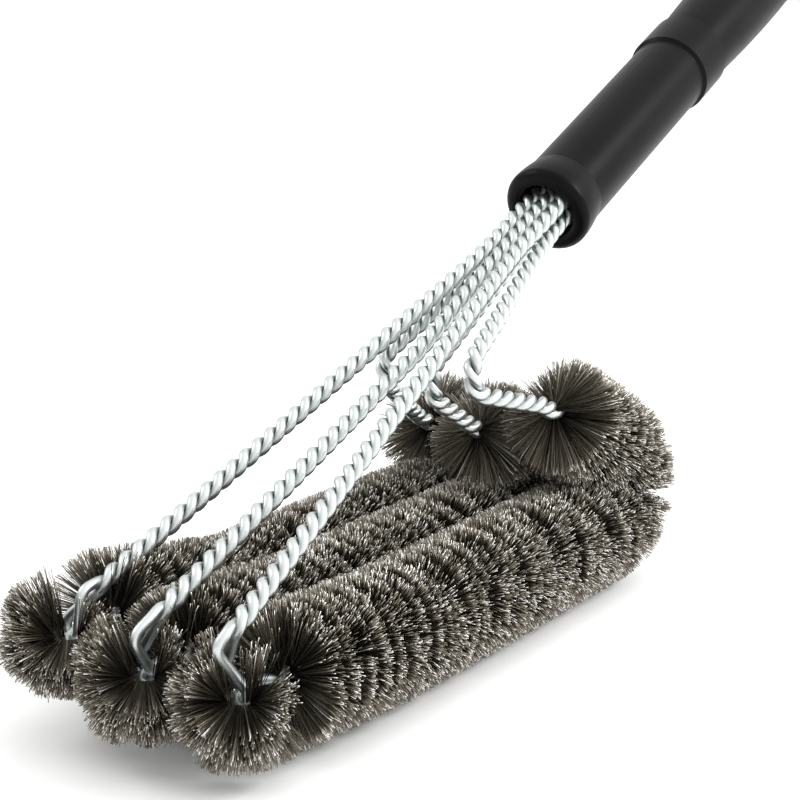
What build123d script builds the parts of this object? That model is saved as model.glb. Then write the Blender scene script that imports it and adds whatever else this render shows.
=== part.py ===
"""Grill cleaning brush: three twisted-wire brushes held side by side under one handle.

X runs from the scrubbing head back to the handle, Y to the left-hand brush (seen by someone
who holds the handle) and Z up. The brush rests on its bristle tips at Z = 0, and the origin
is under the middle of the whole brush. Millimetres and degrees.

Each brush is one long wire, folded in half and twisted on itself. The fold is an eye at the
front, the bristles are gripped between the two legs, and the bare tail goes back up into the
handle. A second folded and twisted wire, the support, hooks through that eye and runs
straight up to the handle. A twisted pair is drawn as a tube of the pair's outside diameter
that holds as much metal as the pair does.
"""
import os
from math import atan2, cos, pi, radians, sin, sqrt

from build123d import *

# ---------------------------------------------------------------- driving sizes
wire_dia = 2.8  # one strand
eye_width = 13.0  # outside width of a fold's eye
eye_gap = 0.2  # play where two eyes hook together
fit_gap = 0.1  # radial clearance of one piece in another
seam = 0.2  # between the faces of neighbouring handle pieces
brush_pitch = 28.6  # between neighbouring brushes
bristle_reach = 20.0  # from a core's middle to the bristle tips
row_gap = 0.3  # between the bristles of two neighbours
row_pitch = 7.5  # between two rows of bristles along a core
row_thick = 0.2  # metal of one row, spread evenly
hub_wall = 0.4  # the bristles' roots, round a core
eye_room = 2.0  # round the two hooked eyes, free of bristles
support_room = 0.5  # between a support wire and the bristles beside it

mouth_x = 202.0  # middle of the handle's mouth, and its height
mouth_z = 120.5
handle_rise = 24.4  # the handle's slope

wire_play = 0.35  # between neighbouring wires in the mouth
mouth_play = 0.25  # round the bundle of six wires in the mouth's hole
mouth_lip = 8.0  # depth of the lip that the six wires pass through
plug_wall = 0.45  # the least plastic outside the plug's holes
wire_depth = 24.0  # how deep the wires sit in the plug
plug_tail = 10.0  # solid plastic behind the wires, where the pin goes
pin_dia = 3.0
pin_gap = 0.05
tube_wall = 1.0  # the tube that joins sleeve and grip
tube_room = 25.0  # between the tube and the end cap's spigot
sleeve_wall = 3.1
sleeve_length = 117.0
collar_step = 1.3  # how far the collar stands out from the sleeve
collar_length = 14.0
ring_step = 1.1  # the raised ring at the sleeve's rear end
ring_length = 19.0
socket_depth = 6.0  # the grip's neck in that ring
neck_wall = 1.9
grip_length = 94.0
grip_inset = 0.2  # how much thinner than the sleeve the grip starts, all round
grip_swell = 1.7  # from the grip's front to its belly, all round
grip_flare = 0.5  # from the grip's front to its rear, all round
cap_flange = 5.0
cap_spigot = 16.0
cap_wall = 1.9
cap_round = 1.8
lug_width = 9.0
lug_radius = 5.5
lug_reach = 11.0  # from the cap's face to the hanging ring's axle
hanger_wire_dia = 3.0
hanger_width = 24.0
hanger_drop = 28.0
hanger_tip_width = 14.0
hanger_bend = 5.0

# ------------------------------------------------- how each brush is bent by hand
# side: +1 left, 0 middle, -1 right. (x, z) of the front eye and of the support's last twist;
# knuckles: where the support bends, so far before the mouth and so far off its line in the handle;
# (x, z) of the stem's turn, above and below, and its y; (x, z) of the elbow, where the stem comes
# over its own brush and heads for the rear curl; then the curl's middle x and its radius
brushes = {
    "left": dict(side=1, eye=(0.8, 29.4), last_twist=(11.9, 39.0), knuckles=[(32.0, 0.0)],
                 turn_top=(131.0, 82.0), turn_low=(133.0, 73.0), turn_y=17.5,
                 elbow=(166.0, 54.5), curl_x=182.0, curl_radius=12.0),
    "middle": dict(side=0, eye=(-0.9, 24.4), last_twist=(5.6, 38.8),
                   knuckles=[(8.0, 0.0), (84.0, -2.2)],
                   turn_top=(134.0, 80.5), turn_low=(133.0, 70.5), turn_y=0.0,
                   elbow=(152.0, 58.6), curl_x=174.0, curl_radius=12.0),
    "right": dict(side=-1, eye=(3.4, 22.6), last_twist=(1.0, 40.6),
                  knuckles=[(8.0, 0.0), (28.0, 0.3)],
                  turn_top=(119.5, 87.0), turn_low=(121.0, 76.5), turn_y=-23.5,
                  elbow=(152.0, 67.5), curl_x=186.0, curl_radius=13.5),
}
knuckle_radius = 120.0
spread_start = 8.0  # how far before the mouth a stem leaves the handle's line
spread_radius = 40.0
turn_radius = 5.0
elbow_radius = 15.0
tail_start = 6.0  # from the elbow to the first bristles
rise_start = 62.0  # where a core starts to rise to its front eye
rise_radius = 60.0
core_eye_length = 14.5  # from the last twist to the middle of the fold
leg_radius = 3.0  # where the two legs of a fold part
support_shoulder = 5.0  # how soon they stand apart
core_shoulder = 3.0
knot_proud = 0.05  # how far a support's rounded last twist stands out from its pair

# ---------------------------------------------------------------- worked-out sizes
pair_dia = 2 * wire_dia
pair_hollow_dia = sqrt(pair_dia**2 - 2 * wire_dia**2)
run_z = bristle_reach
eye_half = (eye_width - wire_dia) / 2
hub_dia = pair_dia + 2 * (fit_gap + hub_wall)
column_pitch = pair_dia + wire_play
bundle_reach = sqrt(column_pitch**2 + (column_pitch / 2)**2) + pair_dia / 2
mouth_hole_dia = 2 * (bundle_reach + mouth_play)
plug_dia = 2 * (bundle_reach + plug_wall)
tube_dia = plug_dia + 2 * (fit_gap + tube_wall)
tube_bore_dia = tube_dia + 2 * fit_gap
wire_hole_dia = pair_dia + 2 * fit_gap
sleeve_dia = tube_bore_dia + 2 * sleeve_wall
collar_dia = sleeve_dia + 2 * collar_step
ring_dia = sleeve_dia + 2 * ring_step
neck_dia = tube_bore_dia + 2 * neck_wall
grip_front_dia = sleeve_dia - 2 * grip_inset
grip_belly_dia = grip_front_dia + 2 * grip_swell
grip_rear_dia = grip_front_dia + 2 * grip_flare
tube_start = mouth_lip + fit_gap
plug_start = tube_start + 4 * seam
plug_length = wire_depth + plug_tail
pin_place = plug_start + wire_depth + plug_tail / 2
grip_start = sleeve_length + seam
grip_end = grip_start + grip_length
tube_length = grip_end - cap_spigot - tube_room - tube_start
cap_start = grip_end + seam
cap_face = cap_start + cap_flange
axle_place = cap_face + lug_reach

slope = radians(handle_rise)
along = Vector(cos(slope), 0, sin(slope))  # up the handle
across = Vector(-sin(slope), 0, cos(slope))  # square to it, upwards
sideways = Vector(0, 1, 0)
mouth = Vector(mouth_x, 0, mouth_z)
handle_axis = Axis(mouth, along)
# in this plane, local X is the way up the handle and local Y is the radius
profile_plane = Plane(origin=mouth, x_dir=along, z_dir=(0, -1, 0))


def handle_plane(place):
    """A plane square to the handle, so far up from the mouth; local X is across, local Y is left."""
    return Plane(origin=mouth + along * place, x_dir=across * -1, z_dir=along)


pieces = {}


def finish(name, part):
    """Label a finished piece with its node's name and keep it."""
    part.label = name
    pieces[name] = part


# ---------------------------------------------------------------- handle
def make_front_sleeve():
    lip_round = 2.0
    brow_round = 3.0
    bevel = 0.8
    flare_slope = -0.15
    ramp = 1.2
    hole_r = mouth_hole_dia / 2
    bore_r = tube_bore_dia / 2
    outer_r = sleeve_dia / 2
    collar_r = collar_dia / 2
    ring_r = ring_dia / 2
    ring_start = sleeve_length - ring_length
    neck_r = neck_dia / 2 + fit_gap
    with BuildPart() as sleeve:
        with BuildSketch(profile_plane):
            with BuildLine():
                throat = Line((mouth_lip, hole_r), (lip_round, hole_r))
                lip = TangentArc(throat @ 1, (0, hole_r + lip_round), tangent=(-1, 0))
                face = Line(lip @ 1, (0, collar_r - brow_round))
                brow = TangentArc(face @ 1, (brow_round, collar_r), tangent=(0, 1))
                flare = Spline(brow @ 1, (collar_length, outer_r), tangents=((1, 0), (1, flare_slope)))
                barrel = Line(flare @ 1, (ring_start, outer_r))
                rise = Line(barrel @ 1, (ring_start + ramp, ring_r))
                band = Line(rise @ 1, (sleeve_length - bevel, ring_r))
                edge = Line(band @ 1, (sleeve_length, ring_r - bevel))
                Polyline(edge @ 1, (sleeve_length, neck_r), (sleeve_length - socket_depth, neck_r),
                         (sleeve_length - socket_depth, bore_r), (mouth_lip, bore_r),
                         throat @ 0)
            make_face()
        revolve(axis=handle_axis)
    finish("front_sleeve", sleeve.part)


def make_rear_grip():
    bore_r = tube_bore_dia / 2
    neck_start = sleeve_length - socket_depth + seam
    belly = grip_start + grip_length / 2
    with BuildPart() as grip:
        with BuildSketch(profile_plane):
            with BuildLine():
                neck = Polyline((neck_start, bore_r), (neck_start, neck_dia / 2),
                                (grip_start, neck_dia / 2), (grip_start, grip_front_dia / 2))
                back = ThreePointArc(neck @ 1, (belly, grip_belly_dia / 2),
                                     (grip_end, grip_rear_dia / 2))
                Polyline(back @ 1, (grip_end, bore_r), neck @ 0)
            make_face()
        revolve(axis=handle_axis)
    finish("rear_grip", grip.part)


def make_joining_tube():
    with BuildPart() as tube:
        with BuildSketch(handle_plane(tube_start)):
            Circle(tube_dia / 2)
            Circle(tube_dia / 2 - tube_wall, mode=Mode.SUBTRACT)
        extrude(amount=tube_length)
        with Locations(Plane(origin=mouth + along * pin_place, z_dir=sideways)):
            Cylinder(pin_dia / 2 + pin_gap, 2 * tube_dia, mode=Mode.SUBTRACT)
    finish("joining_tube", tube.part)


def make_wire_plug():
    with BuildPart() as plug:
        with BuildSketch(handle_plane(plug_start)):
            Circle(plug_dia / 2)
        extrude(amount=plug_length)
        with BuildSketch(handle_plane(plug_start)):
            with GridLocations(column_pitch, column_pitch, 2, 3):
                Circle(wire_hole_dia / 2)
        extrude(amount=wire_depth, mode=Mode.SUBTRACT)
        with Locations(Plane(origin=mouth + along * pin_place, z_dir=sideways)):
            Cylinder(pin_dia / 2 + pin_gap, 2 * tube_dia, mode=Mode.SUBTRACT)
    finish("wire_plug", plug.part)


def make_plug_pin():
    with BuildPart(Plane(origin=mouth + along * pin_place, z_dir=sideways)) as pin:
        Cylinder(pin_dia / 2, tube_dia - 2 * fit_gap)
        chamfer(pin.edges().filter_by(GeomType.CIRCLE), pin_dia / 10)
    finish("plug_pin", pin.part)


def make_end_cap():
    with BuildPart() as cap:
        with BuildSketch(handle_plane(grip_end - cap_spigot)):
            Circle(tube_bore_dia / 2 - fit_gap)
        extrude(amount=cap_spigot + seam)
        with BuildSketch(handle_plane(cap_start)):
            Circle(grip_rear_dia / 2)
        extrude(amount=cap_flange)
        fillet(cap.faces().sort_by(handle_axis)[-1].edges(), cap_round)
        with BuildSketch(profile_plane):
            with Locations((axle_place, 0)):
                Circle(lug_radius)
            with Locations((cap_start + (axle_place - cap_start) / 2, 0)):
                Rectangle(axle_place - cap_start, 2 * lug_radius)
        extrude(amount=lug_width / 2, both=True)
        with BuildSketch(profile_plane):
            with Locations((axle_place, 0)):
                Circle(hanger_wire_dia / 2 + fit_gap)
        extrude(amount=lug_width, both=True, mode=Mode.SUBTRACT)
        with BuildSketch(handle_plane(grip_end - cap_spigot)):
            Circle(tube_bore_dia / 2 - fit_gap - cap_wall)
        extrude(amount=cap_spigot - cap_wall, mode=Mode.SUBTRACT)
    finish("end_cap", cap.part)


def make_hang_ring():
    axle = mouth + along * axle_place
    loop_plane = Plane(origin=axle, x_dir=(0, 1, 0), z_dir=(1, 0, 0))
    with BuildPart() as ring:
        with BuildLine(loop_plane) as path:
            FilletPolyline((-hanger_width / 2, 0), (hanger_width / 2, 0),
                           (hanger_tip_width / 2, -hanger_drop),
                           (-hanger_tip_width / 2, -hanger_drop), radius=hanger_bend, close=True)
        with BuildSketch(Plane(origin=path.line @ 0, z_dir=path.line % 0)):
            Circle(hanger_wire_dia / 2)
        sweep()
    finish("hang_ring", ring.part)


# ---------------------------------------------------------------- wires
def brush_y(bend):
    return bend["side"] * brush_pitch


def in_handle(bend, place, row):
    """A point of one of the six wires, so far up from the mouth; row is +1 upper, -1 lower."""
    return (mouth + along * place + across * (row * column_pitch / 2)
            + sideways * (bend["side"] * column_pitch))


def support_points(bend):
    x, z = bend["last_twist"]
    knuckles = [in_handle(bend, -before, 1) + across * off for before, off in bend["knuckles"]]
    return [in_handle(bend, plug_start + wire_depth - fit_gap, 1), *knuckles,
            Vector(x, brush_y(bend), z)]


def stem_points(bend):
    top_x, top_z = bend["turn_top"]
    low_x, low_z = bend["turn_low"]
    return [in_handle(bend, plug_start + wire_depth - fit_gap, -1),
            in_handle(bend, -spread_start, -1), Vector(top_x, bend["turn_y"], top_z),
            Vector(low_x, bend["turn_y"], low_z), elbow_point(bend), stem_end(bend)]


def elbow_point(bend):
    x, z = bend["elbow"]
    return Vector(x, brush_y(bend), z)


def curl_entry(bend):
    """Where the straight stretch behind the elbow meets the rear curl, and the curl's angle there."""
    x, z = bend["elbow"]
    r = bend["curl_radius"]
    dx, dz = x - bend["curl_x"], z - (run_z + r)
    distance = sqrt(dx**2 + dz**2)
    angle = atan2(dz, dx) - atan2(sqrt(distance**2 - r**2), r)
    return Vector(bend["curl_x"] + r * cos(angle), brush_y(bend), run_z + r + r * sin(angle)), angle


def stem_end(bend):
    """Where the bare stem ends and the bristled core starts, in line with both."""
    elbow = elbow_point(bend)
    return elbow + (curl_entry(bend)[0] - elbow).normalized() * tail_start


def core_eye(bend):
    x, z = bend["eye"]
    return Vector(x, brush_y(bend), z)


def swept_pair(path):
    """Sweep the tube that stands for a twisted pair along the path, inside a BuildPart block."""
    line = path.wires()[0]
    with BuildSketch(Plane(origin=line @ 0, z_dir=line % 0)) as section:
        Circle(pair_dia / 2)
        Circle(pair_hollow_dia / 2, mode=Mode.SUBTRACT)
    sweep(sections=section.sketch, path=line)


def folded_eye(last_twist, heading, lateral, length, shoulder, knot_radius):
    """Add the fold at a wire's front end: the two legs part, pass round and meet."""
    legs = [(0, wire_dia / 2), (shoulder, eye_half), (length, eye_half),
            (length, -eye_half), (shoulder, -eye_half), (0, -wire_dia / 2)]
    points = [last_twist + heading * u + lateral * v for u, v in legs]
    round_end = 0.99 * eye_half
    with BuildLine() as path:
        FilletPolyline(*points, radius=[leg_radius, round_end, round_end, leg_radius])
    line = path.wires()[0]
    with BuildSketch(Plane(origin=line @ 0, z_dir=line % 0)) as section:
        Circle(wire_dia / 2)
    sweep(sections=section.sketch, path=line)
    with Locations(Location(last_twist)):
        Sphere(knot_radius)


def make_support_wire(name, bend):
    points = support_points(bend)
    eye = core_eye(bend)
    heading = (eye - points[-1]).normalized()
    lateral = heading.cross(sideways)
    length = (eye - points[-1]).length + wire_dia + eye_gap
    with BuildPart() as wire:
        with BuildLine() as path:
            FilletPolyline(*points, radius=knuckle_radius)
        swept_pair(path)
        folded_eye(points[-1], heading, lateral, length, support_shoulder,
                   pair_dia / 2 + knot_proud)
    finish("support_wire_" + name, wire.part)


def make_stem_wire(name, bend):
    with BuildPart() as wire:
        with BuildLine() as path:
            FilletPolyline(*stem_points(bend),
                           radius=[spread_radius, turn_radius, turn_radius, elbow_radius])
        swept_pair(path)
    finish("stem_wire_" + name, wire.part)


def run_points(bend):
    """The straight run under the head, from the rear curl to the last twist before the eye."""
    y = brush_y(bend)
    eye = core_eye(bend)
    return [Vector(bend["curl_x"], y, run_z), Vector(rise_start, y, run_z),
            Vector(eye.X + core_eye_length, y, eye.Z)]


def curl_points(bend):
    """The rear curl's first, middle and last points."""
    entry, angle = curl_entry(bend)
    r = bend["curl_radius"]
    y = brush_y(bend)
    middle = (angle - pi / 2) / 2
    halfway = Vector(bend["curl_x"] + r * cos(middle), y, run_z + r + r * sin(middle))
    return entry, halfway, Vector(bend["curl_x"], y, run_z)


def draw_core(bend):
    """Draw a core's middle line from the stem's end to the last twist, inside BuildLine."""
    entry, halfway, low_end = curl_points(bend)
    Line(stem_end(bend), entry)
    ThreePointArc(entry, halfway, low_end)
    FilletPolyline(*run_points(bend), radius=rise_radius)


def make_core_wire(name, bend):
    last_twist = run_points(bend)[-1]
    with BuildPart() as wire:
        with BuildLine() as path:
            draw_core(bend)
        swept_pair(path)
        folded_eye(last_twist, Vector(-1, 0, 0), sideways, core_eye_length, core_shoulder,
                   pair_dia / 2)
    finish("core_wire_" + name, wire.part)


# ---------------------------------------------------------------- bristles
# The bristles of a twisted brush stand in rows, one row to each place where the legs cross.
# Here a row is a thin disc on a hub round the core, which holds as much metal as the bristles.
def own_width(bend):
    """The Y range that a brush's bristles keep to: they stop half-way to a neighbour."""
    y = brush_y(bend)
    shared = brush_pitch / 2 - row_gap / 2
    low = y - (bristle_reach + 1 if bend["side"] < 0 else shared)
    high = y + (bristle_reach + 1 if bend["side"] > 0 else shared)
    return low, high


def trim(x_range, y_range, z_range, mode):
    """Keep only what lies in this box, or take it away, inside a BuildPart block."""
    sizes = [high - low for low, high in (x_range, y_range, z_range)]
    middles = [(high + low) / 2 for low, high in (x_range, y_range, z_range)]
    with Locations(Location(middles)):
        Box(*sizes, mode=mode)


def clear_support(bend):
    """Cut the slot in which the support wire lies between the bristles."""
    knuckle, last_twist = support_points(bend)[-2:]
    way = (knuckle - last_twist).normalized()
    upwards = way.cross(sideways)
    under = last_twist - upwards * (pair_dia / 2 + support_room)
    with Locations(Plane(origin=under, x_dir=way, z_dir=upwards)):
        Box(4 * bristle_reach, pair_dia + 2 * support_room, 2 * bristle_reach,
            align=(Align.MIN, Align.CENTER, Align.MIN), mode=Mode.SUBTRACT)


def swept_round(path, diameter, mode=Mode.ADD):
    line = path.wires()[0]
    with BuildSketch(Plane(origin=line @ 0, z_dir=line % 0)) as section:
        Circle(diameter / 2)
    sweep(sections=section.sketch, path=line, mode=mode)


def add_rows(path, start, end):
    """Add discs along the path, square to it, between two lengths measured from its start."""
    line = path.wires()[0]
    count = max(1, round((end - start) / row_pitch))
    step = (end - start) / count
    for i in range(count):
        place = line.location_at(start + (i + 0.5) * step, position_mode=PositionMode.LENGTH)
        with Locations(place):
            Cylinder(bristle_reach, row_thick)


def make_bristles_run(name, bend):
    low, high = own_width(bend)
    middle_z = run_z + bend["curl_radius"]
    above = (middle_z - row_gap / 2, 4 * bristle_reach)
    under_stem = (stem_end(bend).X - bristle_reach, bend["curl_x"] + 1)
    front = core_eye(bend).X + core_eye_length + wire_dia
    with BuildPart() as rows:
        with BuildLine() as path:
            FilletPolyline(*run_points(bend), radius=rise_radius)
        length = path.wires()[0].length
        swept_round(path, hub_dia)
        add_rows(path, 0, length)
        swept_round(path, pair_dia + 2 * fit_gap, mode=Mode.SUBTRACT)
        clear_support(bend)
        trim((front, bend["curl_x"]), (low, high), (-1, 4 * bristle_reach), Mode.INTERSECT)
        trim(under_stem, (low - 1, high + 1), above, Mode.SUBTRACT)
    finish("bristles_run_" + name, rows.part)


def make_bristles_curl(name, bend):
    r = bend["curl_radius"]
    y = brush_y(bend)
    low, high = own_width(bend)
    middle_z = run_z + r
    entry_angle = curl_entry(bend)[1]
    entry, halfway, low_end = curl_points(bend)
    inner = 2.0  # the rows stop short of the curl's own middle
    first_angle = -pi / 2 + 0.12  # just behind the run's last row
    fans = max(3, round(r * (entry_angle + pi / 2) / row_pitch) + 1)
    with BuildPart() as rows:
        with BuildLine() as lead:
            Line(stem_end(bend), entry)
        with BuildLine() as bow:
            ThreePointArc(entry, halfway, low_end)
        swept_round(lead, hub_dia)
        swept_round(bow, hub_dia)
        add_rows(lead, row_gap, lead.wires()[0].length)
        for i in range(fans):
            angle = first_angle + (entry_angle - first_angle) * i / (fans - 1)
            radial = Vector(cos(angle), 0, sin(angle))
            plate = Plane(origin=(bend["curl_x"], y, middle_z), x_dir=radial,
                          z_dir=(-sin(angle), 0, cos(angle)))
            with BuildSketch(plate) as fan:
                with Locations((r, 0)):
                    Circle(bristle_reach)
                with Locations((inner + 2 * bristle_reach, 0)):
                    Rectangle(4 * bristle_reach, 4 * bristle_reach, mode=Mode.INTERSECT)
            extrude(fan.sketch, amount=row_thick / 2, both=True)
        swept_round(lead, pair_dia + 2 * fit_gap, mode=Mode.SUBTRACT)
        swept_round(bow, pair_dia + 2 * fit_gap, mode=Mode.SUBTRACT)
        trim((0, bend["curl_x"] + 4 * bristle_reach), (low, high), (0, 8 * bristle_reach),
             Mode.INTERSECT)
        trim((0, bend["curl_x"] + row_gap / 2), (low - 1, high + 1),
             (-1, middle_z + row_gap / 2), Mode.SUBTRACT)
    finish("bristles_curl_" + name, rows.part)


def make_bristles_nose(name, bend):
    """The bristles that stand round the front eye, forwards and down."""
    eye = core_eye(bend)
    low, high = own_width(bend)
    last = support_points(bend)[-1]
    nose_turns = (98, 120, 145, 180, 215, 240, 262)  # the way each row stands, seen from above
    hollow = eye_width / 2 + eye_room
    with BuildPart() as fan:
        for turn in nose_turns:
            way = Vector(cos(radians(turn)), sin(radians(turn)), 0)
            upright = Plane(origin=eye, x_dir=way, z_dir=way.cross(Vector(0, 0, 1)))
            with BuildSketch(upright) as blade:
                Circle(bristle_reach)
                with Locations((bristle_reach, 0)):
                    Rectangle(2 * bristle_reach, 2 * bristle_reach, mode=Mode.INTERSECT)
            extrude(blade.sketch, amount=row_thick / 2, both=True)
        with Locations(Location(eye)):
            Sphere(hollow, mode=Mode.SUBTRACT)
        with Locations(Plane(origin=eye + (last - eye) / 2, z_dir=last - eye)):
            Cylinder(hollow, (last - eye).length + hollow, mode=Mode.SUBTRACT)
        trim((-2 * bristle_reach, eye.X + 1), (low, high), (0, 4 * bristle_reach), Mode.INTERSECT)
    finish("bristles_nose_" + name, fan.part)


for name, bend in brushes.items():
    make_support_wire(name, bend)
    make_stem_wire(name, bend)
    make_core_wire(name, bend)
    make_bristles_run(name, bend)
    make_bristles_curl(name, bend)
    make_bristles_nose(name, bend)

make_front_sleeve()
make_rear_grip()
make_joining_tube()
make_wire_plug()
make_plug_pin()
make_end_cap()
make_hang_ring()

# ---------------------------------------------------------------- place and write
whole = Compound(list(pieces.values())).bounding_box()
shift = Vector(-(whole.min.X + whole.max.X) / 2, -(whole.min.Y + whole.max.Y) / 2, -whole.min.Z)
os.makedirs("parts", exist_ok=True)
for name, part in pieces.items():
    placed = part.moved(Location(shift))
    placed.label = name
    export_step(placed, f"parts/{name}.step")

axle = mouth + along * axle_place + shift
print("size", whole.size)
print("shift", shift)
print("hanging ring's axle", axle)
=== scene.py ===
# %% [markdown]
# # A grill cleaning brush
#
# Three long brushes of twisted wire lie side by side under one tubular handle. Each brush is
# a wire that is folded in half and twisted on itself: the fold is an eye at the front, the
# bristles are gripped between the two strands, and the bare tail curls back up into the
# handle. Three more twisted wires, the supports, hook through the eyes and run straight up
# to the handle, so that the head can be pushed hard without folding.
#
# The solid parts of the handle come ready-made from the frame. This lesson makes what the
# frame only stands in for, the twisted strands and the bristles, and gives every part its
# finish.

# %% Load the frame
from math import atan2, cos, pi, radians, sin, sqrt, tan

import bpy
import numpy as np
from mathutils import Matrix, Vector


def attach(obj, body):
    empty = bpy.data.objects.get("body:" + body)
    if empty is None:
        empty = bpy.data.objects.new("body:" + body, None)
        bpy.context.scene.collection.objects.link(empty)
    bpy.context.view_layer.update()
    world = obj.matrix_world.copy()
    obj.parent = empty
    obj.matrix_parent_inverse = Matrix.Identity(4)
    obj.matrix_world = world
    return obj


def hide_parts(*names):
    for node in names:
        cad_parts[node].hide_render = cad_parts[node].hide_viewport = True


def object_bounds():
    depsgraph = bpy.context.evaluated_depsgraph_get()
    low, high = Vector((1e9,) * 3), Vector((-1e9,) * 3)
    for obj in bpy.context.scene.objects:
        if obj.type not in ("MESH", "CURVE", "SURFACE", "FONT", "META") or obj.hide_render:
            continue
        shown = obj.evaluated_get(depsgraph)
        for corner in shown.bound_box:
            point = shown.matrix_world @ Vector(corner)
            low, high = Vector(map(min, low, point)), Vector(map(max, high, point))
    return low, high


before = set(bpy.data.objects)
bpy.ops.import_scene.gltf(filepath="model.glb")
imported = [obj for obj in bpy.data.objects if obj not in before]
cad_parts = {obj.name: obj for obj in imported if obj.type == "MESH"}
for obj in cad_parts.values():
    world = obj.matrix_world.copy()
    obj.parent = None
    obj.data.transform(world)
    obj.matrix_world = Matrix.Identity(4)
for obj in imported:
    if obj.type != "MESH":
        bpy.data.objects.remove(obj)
cad_low, cad_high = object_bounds()
bpy.ops.object.select_all(action="DESELECT")
print("frame box", tuple(cad_low), tuple(cad_high))

# %% [markdown]
# ## Sizes
#
# Blender works in metres here, so a size in millimetres is written with `mm`. The bends are
# given in the plane of each brush, with x counted from the middle of the front eyes. The
# frame's box says where that is in the whole brush: the middle brush's bristle tips are its
# foremost point. For each brush: `hook` is where the support's fold bends, as (x, how far to the
# left of the brush's middle, z), and `droop` is how many degrees the core's own eye hangs down.

# %% Sizes and bends
mm = 0.001
WIRE_DIA = 3.0 * mm  # one strand
PAIR_DIA = 5.75 * mm  # two strands are pressed a little flat against each other
STRAND_OFF = (PAIR_DIA - WIRE_DIA) / 2
TWIST_PITCH = 11.0 * mm  # one full turn of a twisted pair
EYE_HALF = 5.2 * mm  # half the width of an eye, between the middles of its legs
BRUSH_PITCH = 28.6 * mm
BRISTLE_REACH = 20.0 * mm
COLUMN_PITCH = 5.9 * mm  # between the wires in the handle's mouth
HANDLE_RISE = radians(24.4)
WIRE_END = 32.8 * mm  # how far up the handle the wires go
CORE_EYE_LENGTH = 14.5  # in mm, from the last twist to the middle of the fold
RUN_Z = 20.0  # in mm, the height of the run: the bristles' reach

BRUSHES = {
    "left": dict(side=1, eye=(0.8, 29.4), last_twist=(11.9, 39.0), knuckles=[(32.0, 0.0)],
                 turn_top=(131.0, 82.0), turn_low=(133.0, 73.0), turn_y=17.5,
                 elbow=(166.0, 54.5), curl_x=182.0, curl_radius=12.0, droop=18.0,
                 hook=[(8.0, 10.0, 29.0), (7.0, 5.5, 21.5), (4.0, 0.5, 27.5), (6.2, 0.0, 40.8)]),
    "middle": dict(side=0, eye=(-0.9, 24.4), last_twist=(5.6, 38.8),
                   knuckles=[(8.0, 0.0), (84.0, -2.2)],
                   turn_top=(134.0, 80.5), turn_low=(133.0, 70.5), turn_y=0.0,
                   elbow=(152.0, 58.6), curl_x=174.0, curl_radius=12.0, droop=15.0,
                   hook=[(7.0, 10.0, 24.5), (7.0, 5.0, 16.0), (4.0, 0.0, 20.5), (-4.4, 1.5, 34.6)]),
    "right": dict(side=-1, eye=(3.4, 22.6), last_twist=(1.0, 40.6),
                  knuckles=[(8.0, 0.0), (28.0, 0.3)],
                  turn_top=(119.5, 87.0), turn_low=(121.0, 76.5), turn_y=-23.5,
                  elbow=(152.0, 67.5), curl_x=186.0, curl_radius=13.5, droop=15.0,
                  hook=[(8.0, 10.0, 24.5), (8.5, 5.0, 15.5), (6.0, 0.0, 23.0), (-5.0, 2.0, 38.0)]),
}
FORWARD_EYE = BRUSHES["middle"]["eye"][0] * mm
ORIGIN = Vector((cad_low.x + BRISTLE_REACH - FORWARD_EYE, 0, 0))
ALONG = Vector((cos(HANDLE_RISE), 0, sin(HANDLE_RISE)))
ACROSS = Vector((-sin(HANDLE_RISE), 0, cos(HANDLE_RISE)))
SIDEWAYS = Vector((0, 1, 0))
MOUTH = ORIGIN + Vector((202.0, 0, 120.5)) * mm
print("front eyes' line at x", ORIGIN.x, "mouth at", tuple(MOUTH))

# %% [markdown]
# ## Paths
#
# A bent wire is straight runs joined by round bends. `rounded` turns a few corner points
# into such a path, and `even_steps` walks along it at an even pace, because a twist has to
# turn at the same rate everywhere. At each step the path also needs two directions square to
# itself. No wire here ever runs straight sideways, so the Y axis can serve as the reference.


# %% Path helpers
def rounded(corners, radii, arc_step=radians(6)):
    """Points along a path with each inner corner rounded to its radius."""
    points = [corners[0]]
    for before, corner, after, radius in zip(corners, corners[1:], corners[2:], radii):
        a = (before - corner).normalized()
        b = (after - corner).normalized()
        turn = pi - a.angle(b)
        if turn < radians(0.5):
            points.append(corner)
            continue
        reach = radius * tan(turn / 2)
        middle = corner + (a + b).normalized() * (radius / cos(turn / 2))
        start = corner + a * reach - middle
        axis = start.cross(corner + b * reach - middle).normalized()
        steps = max(2, round(turn / arc_step))
        for i in range(steps + 1):
            angle = turn * i / steps
            points.append(middle + start * cos(angle) + axis.cross(start) * sin(angle))
    return points + [corners[-1]]


def even_steps(points, step):
    """The same path as an array of points at even distances, with its length."""
    path = np.array(points)
    lengths = np.linalg.norm(np.diff(path, axis=0), axis=1)
    path = path[np.concatenate([[True], lengths > 1e-7])]
    travelled = np.concatenate([[0], np.cumsum(np.linalg.norm(np.diff(path, axis=0), axis=1))])
    count = max(2, round(travelled[-1] / step))
    places = np.linspace(0, travelled[-1], count + 1)
    return np.stack([np.interp(places, travelled, path[:, k]) for k in range(3)], 1), places


def square_directions(path):
    """For each point of a path: the way ahead, and two directions square to it."""
    ahead = np.gradient(path, axis=0)
    ahead /= np.linalg.norm(ahead, axis=1)[:, None]
    side = np.array([0.0, 1.0, 0.0]) - ahead[:, 1:2] * ahead
    side /= np.linalg.norm(side, axis=1)[:, None]
    return ahead, side, np.cross(ahead, side)


def in_plane(bend, place):
    """A point given as (x, z) in millimetres, in the plane of a brush."""
    return ORIGIN + Vector((place[0] * mm, bend["side"] * BRUSH_PITCH, place[1] * mm))


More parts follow.
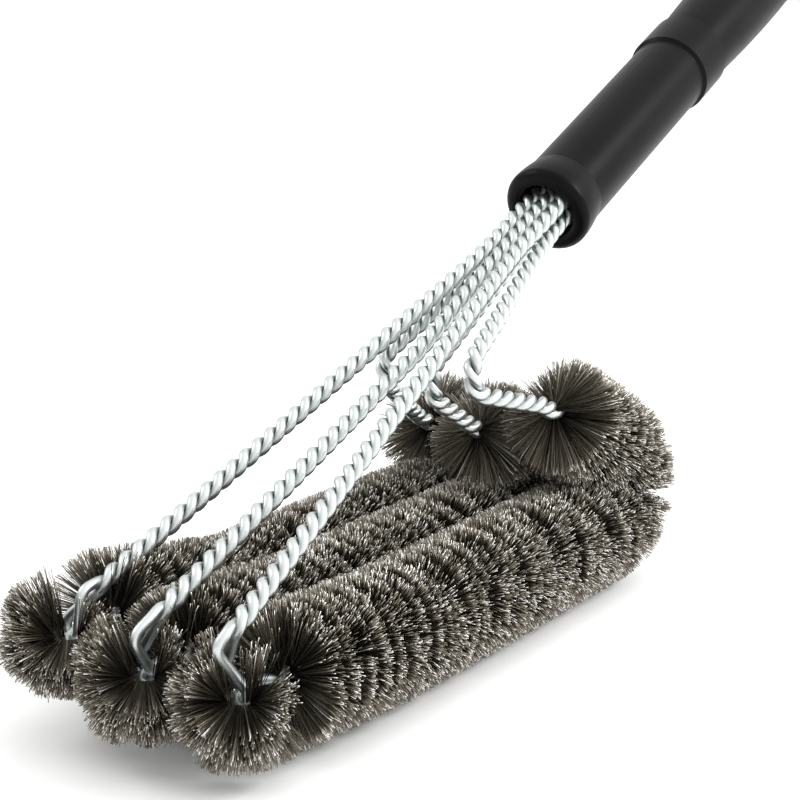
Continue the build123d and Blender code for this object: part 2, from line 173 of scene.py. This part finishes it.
def in_handle(bend, place, row, off=0.0):
    """A point of one of the six wires at the mouth: row is +1 for a support, -1 for a stem."""
    return (MOUTH + ALONG * place + ACROSS * (row * COLUMN_PITCH / 2 + off)
            + SIDEWAYS * (bend["side"] * COLUMN_PITCH))


def support_path(bend):
    knuckles = [in_handle(bend, -before * mm, 1, off * mm) for before, off in bend["knuckles"]]
    corners = [in_handle(bend, WIRE_END, 1), *knuckles, in_plane(bend, bend["last_twist"])]
    return rounded(corners, [120 * mm] * len(knuckles))


def stem_path(bend):
    """From the handle down to where the rear curl starts, and the curl's angle there."""
    elbow = in_plane(bend, bend["elbow"])
    r = bend["curl_radius"] * mm
    middle = in_plane(bend, (bend["curl_x"], RUN_Z + bend["curl_radius"]))
    away = elbow - middle
    entry_angle = atan2(away.z, away.x) - atan2(sqrt(away.length**2 - r**2), r)
    entry = middle + Vector((cos(entry_angle), 0, sin(entry_angle))) * r
    turns = [in_plane(bend, bend[name]) for name in ("turn_top", "turn_low")]
    for turn in turns:
        turn.y = bend["turn_y"] * mm
    spread_start = in_handle(bend, -8 * mm, -1)
    corners = [in_handle(bend, WIRE_END, -1), spread_start, *turns, elbow, entry]
    return rounded(corners, [40 * mm, 5 * mm, 5 * mm, 15 * mm]), entry_angle


def curl_path(bend, entry_angle):
    r = bend["curl_radius"] * mm
    middle = in_plane(bend, (bend["curl_x"], RUN_Z + bend["curl_radius"]))
    angles = np.linspace(entry_angle, -pi / 2, 24)[1:]
    return [middle + Vector((cos(a), 0, sin(a))) * r for a in angles]


def run_path(bend):
    """The run under the head, from the rear curl to the last twist before the eye."""
    front = (bend["eye"][0] + CORE_EYE_LENGTH, bend["eye"][1])
    rise_start = 62.0
    corners = [in_plane(bend, (bend["curl_x"], RUN_Z)), in_plane(bend, (rise_start, RUN_Z)),
               in_plane(bend, front)]
    return rounded(corners, [60 * mm])


# %% [markdown]
# ## Finishes
#
# Three finishes cover almost everything: bright plated wire, dull brown-grey bristles, and
# satin black plastic. Each is a Principled shader. On the wire and the plastic, roughness and
# bump vary over the surface; the bristles have one even roughness. The wire carries painted
# shade in the groove where its strands touch, and the bristles carry painted shade at their
# roots and painted highlights, all along a few of them and at their cut ends, so both read an
# attribute that their mesh carries. Noise could do it alone, but noise doesn't know where a
# groove is.


# %% Material helper
def finish_material(name, **settings):
    """A material with a Principled shader, and its node tree's main tools."""
    material = bpy.data.materials.new(name)
    material.use_nodes = True
    nodes = material.node_tree.nodes
    shader = nodes["Principled BSDF"]
    for socket, value in settings.items():
        shader.inputs[socket.replace("_", " ")].default_value = value
    return material, nodes, material.node_tree.links, shader


def add_noise(nodes, links, scale, detail=4.0):
    place = nodes.new("ShaderNodeTexCoord")
    noise = nodes.new("ShaderNodeTexNoise")
    noise.inputs["Scale"].default_value = scale
    noise.inputs["Detail"].default_value = detail
    links.new(place.outputs["Object"], noise.inputs["Vector"])
    return noise.outputs["Fac"]


def add_ramp(nodes, links, value, stops):
    ramp = nodes.new("ShaderNodeValToRGB")
    elements = ramp.color_ramp.elements
    while len(elements) < len(stops):
        elements.new(0.5)
    for element, (place, colour) in zip(elements, stops):
        element.position = place
        element.color = (*colour, 1.0)
    links.new(value, ramp.inputs["Fac"])
    return ramp.outputs["Color"]


def add_range(nodes, links, value, low, high):
    reach = nodes.new("ShaderNodeMapRange")
    reach.inputs["To Min"].default_value = low
    reach.inputs["To Max"].default_value = high
    links.new(value, reach.inputs["Value"])
    return reach.outputs["Result"]


def add_bump(nodes, links, shader, height, strength, distance):
    bump = nodes.new("ShaderNodeBump")
    bump.inputs["Strength"].default_value = strength
    bump.inputs["Distance"].default_value = distance
    links.new(height, bump.inputs["Height"])
    links.new(bump.outputs["Normal"], shader.inputs["Normal"])


def add_attribute(nodes, name):
    attribute = nodes.new("ShaderNodeAttribute")
    attribute.attribute_name = name
    return attribute.outputs["Fac"]


# %% Plated wire
def make_wire_steel():
    material, nodes, links, shader = finish_material("plated_wire", Metallic=1.0)
    # Painted shade: the colour darkens from the wire's own grey towards the groove where the two
    # strands touch.
    groove = add_attribute(nodes, "groove")
    colour = add_ramp(nodes, links, groove,
                      [(0.0, (0.06, 0.068, 0.064)), (0.45, (0.34, 0.37, 0.36)),
                       (0.8, (0.56, 0.60, 0.59))])
    links.new(colour, shader.inputs["Base Color"])
    smears = add_noise(nodes, links, 420.0)
    links.new(add_range(nodes, links, smears, 0.30, 0.46), shader.inputs["Roughness"])
    add_bump(nodes, links, shader, add_noise(nodes, links, 1500.0), 0.12, 0.00008)
    return material


wire_steel = make_wire_steel()


# %% Bristle wire
def make_bristle_steel():
    material, nodes, links, shader = finish_material("bristle_wire", Metallic=0.85, Roughness=0.4)
    # The ramp holds the bristles' own brown-grey tones in the middle, painted shade near black at
    # the low end for the roots, and a painted white highlight at the top for glints and cut ends.
    colour = add_ramp(nodes, links, add_attribute(nodes, "shade"),
                      [(0.0, (0.014, 0.012, 0.009)), (0.45, (0.150, 0.130, 0.098)),
                       (0.8, (0.30, 0.27, 0.215)), (1.0, (0.98, 0.97, 0.95))])
    links.new(colour, shader.inputs["Base Color"])
    return material


bristle_steel = make_bristle_steel()


# %% Handle plastic and the hidden parts
def make_black_plastic():
    material, nodes, links, shader = finish_material("satin_black_plastic", Specular_IOR_Level=0.07)
    tone = add_ramp(nodes, links, add_noise(nodes, links, 60.0),
                    [(0.3, (0.0022, 0.0022, 0.0025)), (0.7, (0.004, 0.004, 0.0045))])
    links.new(tone, shader.inputs["Base Color"])
    links.new(add_range(nodes, links, add_noise(nodes, links, 180.0), 0.30, 0.42),
              shader.inputs["Roughness"])
    add_bump(nodes, links, shader, add_noise(nodes, links, 1100.0, 2.0), 0.10, 0.00012)
    return material


def make_plain_metal(name, colour, roughness):
    material, nodes, links, shader = finish_material(name, Metallic=1.0, Base_Color=(*colour, 1.0))
    streaks = add_noise(nodes, links, 700.0)
    links.new(add_range(nodes, links, streaks, roughness - 0.06, roughness + 0.06),
              shader.inputs["Roughness"])
    add_bump(nodes, links, shader, streaks, 0.08, 0.00005)
    return material


black_plastic = make_black_plastic()
hanger_steel = make_plain_metal("hanger_steel", (0.62, 0.63, 0.63), 0.28)
tube_metal = make_plain_metal("tube_metal", (0.75, 0.76, 0.77), 0.38)
for node, material in {"front_sleeve": black_plastic, "rear_grip": black_plastic,
                       "end_cap": black_plastic, "wire_plug": black_plastic,
                       "joining_tube": tube_metal, "plug_pin": hanger_steel,
                       "hang_ring": hanger_steel}.items():
    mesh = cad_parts[node].data
    mesh.materials.clear()
    mesh.materials.append(material)

# %% [markdown]
# ## Twisted wires
#
# A folded wire is one strand from end to end: down one side of the twist, round the eye, and
# back up the other side. It could be two helix curves and a ring, but then the joints would
# show. Here it is one curve, given its round section by the curve's own bevel and then
# turned into a mesh. The two strands wind left-handed, like the real ones.


# %% The strand and its eye
SOFT_POINTS = 7  # of the twist at each end of the eye, which the bending softens too
SOFT_PASSES = 10


def twisted_strand(path, places, last_phase, eye):
    """The strand's route: one side of the twist, the eye, and the other side."""
    ahead, side, up = square_directions(path)
    phase = last_phase - 2 * pi * (places - places[-1]) / TWIST_PITCH
    offset = (np.cos(phase)[:, None] * side + np.sin(phase)[:, None] * up) * STRAND_OFF
    route = np.concatenate([path + offset, eye, (path - offset)[::-1]])
    soft = slice(len(path) - SOFT_POINTS, len(path) + len(eye) + SOFT_POINTS)
    for _ in range(SOFT_PASSES):
        bent = route[soft].copy()
        bent[1:-1] = (bent[:-2] + 2 * bent[1:-1] + bent[2:]) / 4
        route[soft] = bent
    return route


def core_eye(last_twist, heading, length):
    """A core's fold: the two legs part at the shoulder, pass round and meet."""
    shoulder = 3 * mm
    legs = [(0, STRAND_OFF), (shoulder, EYE_HALF), (length, EYE_HALF),
            (length, -EYE_HALF), (shoulder, -EYE_HALF), (0, -STRAND_OFF)]
    corners = [last_twist + heading * u + SIDEWAYS * v for u, v in legs]
    bend = 0.9 * EYE_HALF
    points = rounded(corners, [3 * mm, bend, bend, 3 * mm])
    return even_steps(points, 0.7 * mm)[0][1:-1]


def support_hook(bend, last_twist, lateral):
    """A support's fold: down the far side, under the core's leg, up through the core's eye."""
    y = bend["side"] * BRUSH_PITCH
    bends = [ORIGIN + Vector((x * mm, y + off * mm, z * mm)) for x, off, z in bend["hook"]]
    corners = [last_twist + lateral * STRAND_OFF, *bends, last_twist - lateral * STRAND_OFF]
    points = rounded(corners, [3.5 * mm, 3 * mm, 3 * mm, 3 * mm])
    return even_steps(points, 0.7 * mm)[0][1:-1]


def wire_from_route(name, route, centre_line):
    """A round wire along the route, as a closed mesh that knows where its groove is, for the
    painted shade there.
    """
    bpy.ops.object.select_all(action="DESELECT")
    bpy.ops.curve.primitive_nurbs_path_add()
    wire = bpy.context.object
    wire.name = name
    curve = wire.data
    curve.splines.clear()
    spline = curve.splines.new("POLY")
    spline.points.add(len(route) - 1)
    spline.points.foreach_set("co", np.c_[route, np.ones(len(route))].astype(np.float32).ravel())
    curve.bevel_depth = WIRE_DIA / 2
    curve.bevel_resolution = 4
    curve.use_fill_caps = True
    bpy.ops.object.convert(target="MESH")
    bpy.ops.object.shade_smooth()
    mesh = wire.data
    mark_painted_groove_shade(mesh, centre_line)
    mesh.materials.clear()
    mesh.materials.append(wire_steel)
    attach(wire, "brush")
    return wire


def mark_painted_groove_shade(mesh, centre_line):
    """Store how far each point is from the middle of the pair: 0 in the groove, 1 outside. The
    wire's colour turns this into painted shade in the groove.
    """
    points = np.zeros(len(mesh.vertices) * 3, np.float32)
    mesh.vertices.foreach_get("co", points)
    points = points.reshape(-1, 3)
    nearest = np.full(len(points), 1.0)
    part_size = 60  # points of the line at a time, to spare memory
    for part in np.array_split(centre_line, max(1, len(centre_line) // part_size)):
        distance = np.linalg.norm(points[:, None] - part[None], axis=2).min(1)
        nearest = np.minimum(nearest, distance)
    groove = mesh.attributes.new("groove", "FLOAT", "POINT")
    groove.data.foreach_set("value", np.clip(nearest / (PAIR_DIA / 2), 0, 1).astype(np.float32))


# %% Support wires
STRAND_STEP = 0.75 * mm


def make_support_wire(name, bend):
    path, places = even_steps(support_path(bend), STRAND_STEP)
    last_twist = Vector(path[-1])
    eye = in_plane(bend, bend["eye"])
    heading = (eye - last_twist).normalized()
    lateral = heading.cross(SIDEWAYS)
    loop = support_hook(bend, last_twist, lateral)
    route = twisted_strand(path, places, pi / 2, loop)
    wire = wire_from_route("twisted_support_" + name, route, path)
    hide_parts("support_wire_" + name)
    return path


# %% Brush wires
def make_brush_wire(name, bend):
    stem, entry_angle = stem_path(bend)
    points = stem + curl_path(bend, entry_angle) + run_path(bend)[1:]
    path, places = even_steps(points, STRAND_STEP)
    droop = radians(bend["droop"])
    heading = Vector((-cos(droop), 0, -sin(droop)))
    loop = core_eye(Vector(path[-1]), heading, CORE_EYE_LENGTH * mm)
    route = twisted_strand(path, places, 0.0, loop)
    wire = wire_from_route("twisted_core_" + name, route, path)
    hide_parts("stem_wire_" + name, "core_wire_" + name)
    return path, places


support_lines = {}
core_lines = {}
for name, bend in BRUSHES.items():
    support_lines[name] = make_support_wire(name, bend)
    core_lines[name] = make_brush_wire(name, bend)
print("core wires", {name: round(line[1][-1], 4) for name, line in core_lines.items()})

# %% [markdown]
# ## Bristles
#
# A bristle is a short piece of thin wire that is caught between the strands. One is
# modelled by hand, as a three-sided needle with a joint near its tip, and thousands of
# copies are laid out by arrays. Where the strands cross, the bristles can only leave on two
# opposite sides, so they stand in two spiral blades that turn with the twist. Neighbours cling
# together in tufts. At the ends of a brush nothing holds the outer ones up, and they splay.
#
# Instances or a hair system could hold that many, but a plain mesh exports as it stands, so
# one mesh is filled from arrays for each stretch of brush.

# %% One bristle
BRISTLE_DIA = 0.26 * mm
TUFT_WIDTH = 0.9 * mm  # along the core
bpy.ops.object.select_all(action="DESELECT")
bpy.ops.mesh.primitive_cylinder_add(vertices=3, radius=0.5, depth=1.0, location=(0, 0, 0.5))
needle = bpy.context.object
bpy.ops.object.transform_apply(location=True)
bpy.ops.object.mode_set(mode="EDIT")
bpy.ops.mesh.select_all(action="SELECT")
bpy.ops.mesh.bisect(plane_co=(0, 0, 0.88), plane_no=(0, 0, 1))
bpy.ops.object.mode_set(mode="OBJECT")
NEEDLE_POINTS = np.array([v.co for v in needle.data.vertices])
NEEDLE_FACES = [list(face.vertices) for face in needle.data.polygons]
bpy.data.objects.remove(needle)
print("one bristle has", len(NEEDLE_FACES), "faces")


# %% Many bristles
# Shares of bristles with painted glints (near white all along) and with painted white highlights at
# their cut ends.
PAINTED_GLINT_SHARE = 0.06  # bristles that catch the light all along
PAINTED_TIP_HIGHLIGHT_SHARE = 0.22  # bristles whose cut end is bright


def tuft_leans(places, blade, spread, random):
    """One lean for each tuft of a blade: neighbouring bristles bend over together."""
    tuft = 2 * np.floor((places - places.min()) / TUFT_WIDTH).astype(int) + blade
    return random.normal(0, spread, tuft.max() + 1)[tuft]


def bristle_mesh(name, roots, tips, bows, tone_and_glint_values, tip_highlight_values):
    """A mesh of needles from roots to tips; bows push each needle's upper part sideways."""
    count = len(roots)
    way = tips - roots
    lengths = np.linalg.norm(way, axis=1)
    way /= lengths[:, None]
    helper = np.where(np.abs(way[:, 2:3]) < 0.9, [[0.0, 0.0, 1.0]], [[1.0, 0.0, 0.0]])
    first = np.cross(way, helper)
    first /= np.linalg.norm(first, axis=1)[:, None]
    second = np.cross(way, first)
    x, y, z = NEEDLE_POINTS.T
    bow = np.where((z > 0.1) & (z < 0.99), 1.0, 0.0)
    points = (roots[:, None] + way[:, None] * (z[None, :, None] * lengths[:, None, None])
              + first[:, None] * x[None, :, None] * BRISTLE_DIA
              + second[:, None] * y[None, :, None] * BRISTLE_DIA
              + bows[:, None] * bow[None, :, None])
    mesh = bpy.data.meshes.new(name)
    step = len(NEEDLE_POINTS)
    faces = [np.array(face)[None] + np.arange(count)[:, None] * step for face in NEEDLE_FACES]
    corners = np.concatenate([face.ravel() for face in faces])
    sizes = np.concatenate([np.full(count, face.shape[1]) for face in faces])
    mesh.vertices.add(count * step)
    mesh.vertices.foreach_set("co", points.astype(np.float32).ravel())
    mesh.loops.add(len(corners))
    mesh.loops.foreach_set("vertex_index", corners.astype(np.int32))
    mesh.polygons.add(len(sizes))
    mesh.polygons.foreach_set("loop_start", (np.cumsum(sizes) - sizes).astype(np.int32))
    mesh.update(calc_edges=True)
    shade = mesh.attributes.new("shade", "FLOAT", "POINT")
    # Painted shade: the roots near the core are 0.4 darker. The tips take their painted highlight
    # values.
    values = np.where(z > 0.99, tip_highlight_values[:, None], tone_and_glint_values[:, None] - np.where(z < 0.1, 0.4, 0.0))
    shade.data.foreach_set("value", np.clip(values, 0, 1).astype(np.float32).ravel())
    mesh.validate()
    return mesh


def bristle_piece(name, node, roots, tips, random):
    """Bow the bristles and tone them, with painted glints and painted highlights at the cut ends;
    build them and hang them on the frame.
    """
    count = len(roots)
    crookedness = 0.25 * mm
    bows = random.normal(0, crookedness, (count, 3))
    tone_and_glint_values = np.clip(random.normal(0.5, 0.17, count), 0.05, 0.8)
    # Painted glint: a few bristles are painted near white all along.
    tone_and_glint_values[random.random(count) < PAINTED_GLINT_SHARE] = 0.97
    # Painted highlight: some cut ends are painted white, the others a little lighter than their
    # bristle.
    tip_highlights = np.where(random.random(count) < PAINTED_TIP_HIGHLIGHT_SHARE, 1.0, tone_and_glint_values + 0.1)
    mesh = bristle_mesh(name, roots, tips, bows, tone_and_glint_values, tip_highlights)
    mesh.materials.append(bristle_steel)
    piece = bpy.data.objects.new(name, mesh)
    bpy.context.collection.objects.link(piece)
    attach(piece, "brush")
    if node:
        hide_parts(node)
    return piece


def along_core(path, places, last_phase, start, end, count, splay, random):
    """Roots and tips of bristles gripped between two places along a core."""
    ahead, side, up = square_directions(path)
    at = random.uniform(start, end, count)
    frame_at = [np.stack([np.interp(at, places, v[:, k]) for k in range(3)], 1)
                for v in (path, ahead, side, up)]
    middle, ahead, side, up = frame_at
    phase = last_phase - 2 * pi * (at - places[-1]) / TWIST_PITCH + pi / 2
    blade = random.integers(0, 2, count)
    phase += blade * pi + random.normal(0, 0.26, count)
    out = np.cos(phase)[:, None] * side + np.sin(phase)[:, None] * up
    lean = random.normal(0, radians(2.5), count) + tuft_leans(at, blade, radians(7.0), random)
    for end_place, width, angle in splay:
        closeness = np.clip(1 - np.abs(at - end_place) / width, 0, 1)
        free = np.where(out[:, 2] > 0, 1.0, 0.35)  # the lower ones have the floor against them
        lean += closeness * angle * random.uniform(0.1, 1.0, count) * free
    way = out * np.cos(lean)[:, None] + ahead * np.sin(lean)[:, None]
    reach = BRISTLE_REACH * (1 - np.abs(random.normal(0, 0.03, count)))
    return middle + out * 1.2 * mm, middle + way * reach[:, None]


def clear_of(line, roots, tips, gap):
    """Which bristles stay this far from a wire's middle line, tried at places along each."""
    keep = np.ones(len(roots), bool)
    for share in np.linspace(0.15, 1.0, 8):
        point = roots + (tips - roots) * share
        for part in np.array_split(line, 12):
            every_third = part[None, ::3]
            near = np.linalg.norm(point[:, None] - every_third, axis=2).min(1)
            keep &= near > gap
    return keep


def inside_box(tips):
    """Pull tips back inside the frame's box."""
    margin = 0.2 * mm
    return np.clip(tips, np.array(cad_low) + margin, np.array(cad_high) - margin)


# %% [markdown]
# ## Three brushes
#
# Each brush gets four pieces of bristles: two along the run, so that neither holds too many
# triangles, one round the rear curl, and the fan round the front eye. The fan opens where the
# two eyes hook together. Bristles that would pierce a support wire are left out.

# %% The bristles of each brush
RUN_DENSITY = 140  # bristles to a millimetre of core
CURL_DENSITY = 125
NOSE_COUNT = 4600
NOSE_TUFTS = 110
OPEN_SIDE = Vector((-0.78, -0.48, 0.40)).normalized()  # here the hooked eyes part the bristles
LEAD_LENGTH = 6 * mm  # from the elbow to the first bristles


def make_run_and_curl(name, bend, random):
    path, places = core_lines[name]
    run_length = even_steps(run_path(bend), STRAND_STEP)[1][-1]
    total = places[-1]
    elbow = np.array(in_plane(bend, bend["elbow"]))
    elbow_place = places[np.linalg.norm(path - elbow, axis=1).argmin()]
    first = elbow_place + LEAD_LENGTH
    run_start = total - run_length
    half = run_start + run_length / 2
    spans = [("bristles_run_rear_", "bristles_run_" + name, run_start, half, RUN_DENSITY, []),
             ("bristles_run_front_", None, half, total, RUN_DENSITY,
              [(total, 8 * mm, radians(28))]),
             ("bristles_curl_", "bristles_curl_" + name, first, run_start, CURL_DENSITY,
              [(first, 12 * mm, radians(52))])]
    for label, node, start, end, density, splay in spans:
        count = int((end - start) / mm * density)
        roots, tips = along_core(path, places, 0.0, start, end, count, splay, random)
        tips = inside_box(tips)
        keep = clear_of(support_lines[name], roots, tips, PAIR_DIA / 2 + 0.3 * mm)
        bristle_piece(label + name, node, roots[keep], tips[keep], random)
        print(label + name, int(keep.sum()), "bristles")


def make_nose(name, bend, random):
    eye = np.array(in_plane(bend, bend["eye"]))
    tufts = random.integers(0, NOSE_TUFTS, NOSE_COUNT)
    azimuth = random.uniform(radians(75), radians(285), NOSE_TUFTS)[tufts]
    azimuth += random.normal(0, radians(8), NOSE_COUNT)
    height = np.arcsin(random.uniform(-0.97, 0.8, NOSE_TUFTS))[tufts]
    height = np.clip(height + random.normal(0, radians(6), NOSE_COUNT), radians(-85), radians(70))
    level = np.stack([np.cos(azimuth), np.sin(azimuth), 0 * azimuth], 1)
    way = level * np.cos(height)[:, None]
    way[:, 2] = np.sin(height)
    roots = eye + level * EYE_HALF
    roots[:, 2] += np.sign(height) * random.uniform(0, 1.0, NOSE_COUNT) * mm
    reach = BRISTLE_REACH * (1.02 - random.uniform(0, 0.28, NOSE_TUFTS)[tufts]
                             - np.abs(random.normal(0, 0.03, NOSE_COUNT)))
    tips = inside_box(eye + way * reach[:, None])
    keep = clear_of(support_lines[name], roots, tips, PAIR_DIA / 2 + 1.0 * mm)
    keep &= way @ np.array(OPEN_SIDE) < cos(radians(38))
    bristle_piece("bristles_nose_fan_" + name, "bristles_nose_" + name, roots[keep], tips[keep],
                  random)
    print("bristles_nose_fan_" + name, int(keep.sum()), "bristles")


for seed, (name, bend) in enumerate(BRUSHES.items()):
    random = np.random.default_rng(40 + seed)
    make_run_and_curl(name, bend, random)
    make_nose(name, bend, random)

# %% [markdown]
# ## Stage, light and camera
#
# A pale floor and a bright, even sky give the wires something white to reflect, and a few
# large lamps put a highlight on each strand and a soft edge on the black plastic.

# %% Floor
bpy.ops.object.select_all(action="DESELECT")
bpy.ops.mesh.primitive_plane_add(size=120.0, location=(0, 0, 0))
floor = bpy.context.object
floor.name = "floor"
floor_paint, _, _, _ = finish_material("floor_paint", Base_Color=(0.93, 0.93, 0.925, 1.0),
                                       Roughness=0.9, Specular_IOR_Level=0.1)
floor.data.materials.append(floor_paint)


# %% Light
def add_lamp(name, place, aim, size, power):
    bpy.ops.object.light_add(type="AREA", location=place)
    lamp = bpy.context.object
    lamp.name = name
    lamp.data.shape = "DISK"
    lamp.data.size = size
    lamp.data.energy = power
    lamp.rotation_euler = (Vector(aim) - Vector(place)).to_track_quat("-Z", "Y").to_euler()


def make_sky(world, bright_side, low, high):
    """A white sky that is brighter towards one side and greyer opposite."""
    nodes, links = world.node_tree.nodes, world.node_tree.links
    place = nodes.new("ShaderNodeTexCoord")
    facing = nodes.new("ShaderNodeVectorMath")
    facing.operation = "DOT_PRODUCT"
    facing.inputs[1].default_value = bright_side
    links.new(place.outputs["Generated"], facing.inputs[0])
    reach = nodes.new("ShaderNodeMapRange")
    reach.inputs["From Min"].default_value = -1.0
    reach.inputs["To Min"].default_value = low
    reach.inputs["To Max"].default_value = high
    links.new(facing.outputs["Value"], reach.inputs["Value"])
    background = nodes["Background"]
    background.inputs["Color"].default_value = (1.0, 1.0, 1.0, 1.0)
    links.new(reach.outputs["Result"], background.inputs["Strength"])


world = bpy.context.scene.world or bpy.data.worlds.new("studio")
bpy.context.scene.world = world
world.use_nodes = True
make_sky(world, (0.45, -0.75, 0.48), 0.7, 1.7)
add_lamp("key", (0.45, -0.9, 0.75), (-0.05, 0, 0.06), 0.45, 9.0)
add_lamp("rim", (-0.5, 0.9, 0.9), (0.0, 0, 0.08), 0.6, 4.0)

# %% Camera
CAMERA_TURN = radians(-54.6)
CAMERA_RISE = radians(12.9)
CAMERA_ROLL = radians(-1.446)
FOCAL_SHARE = 2.26035  # focal length over the frame's width
camera_place = ORIGIN + Vector((-320.46, -309.82, 195.91)) * mm
back = Vector((sin(CAMERA_TURN) * cos(CAMERA_RISE), -cos(CAMERA_TURN) * cos(CAMERA_RISE),
               sin(CAMERA_RISE)))
right = Vector((cos(CAMERA_TURN), sin(CAMERA_TURN), 0))
up = back.cross(right)
level_right = right * cos(CAMERA_ROLL) + up * sin(CAMERA_ROLL)
level_up = up * cos(CAMERA_ROLL) - right * sin(CAMERA_ROLL)
camera_data = bpy.data.cameras.new("camera")
camera_data.sensor_width = 36.0
camera_data.lens = 36.0 * FOCAL_SHARE
camera_data.clip_start = 0.01
camera_data.clip_end = 50.0
camera = bpy.data.objects.new("camera", camera_data)
bpy.context.collection.objects.link(camera)
turn = [[level_right[k], level_up[k], back[k], camera_place[k]] for k in range(3)]
camera.matrix_world = Matrix([*turn, [0, 0, 0, 1]])
bpy.context.scene.camera = camera

# %% Colour management
# The plain transform keeps black plastic black and a white floor white.
bpy.context.scene.view_settings.view_transform = "Standard"
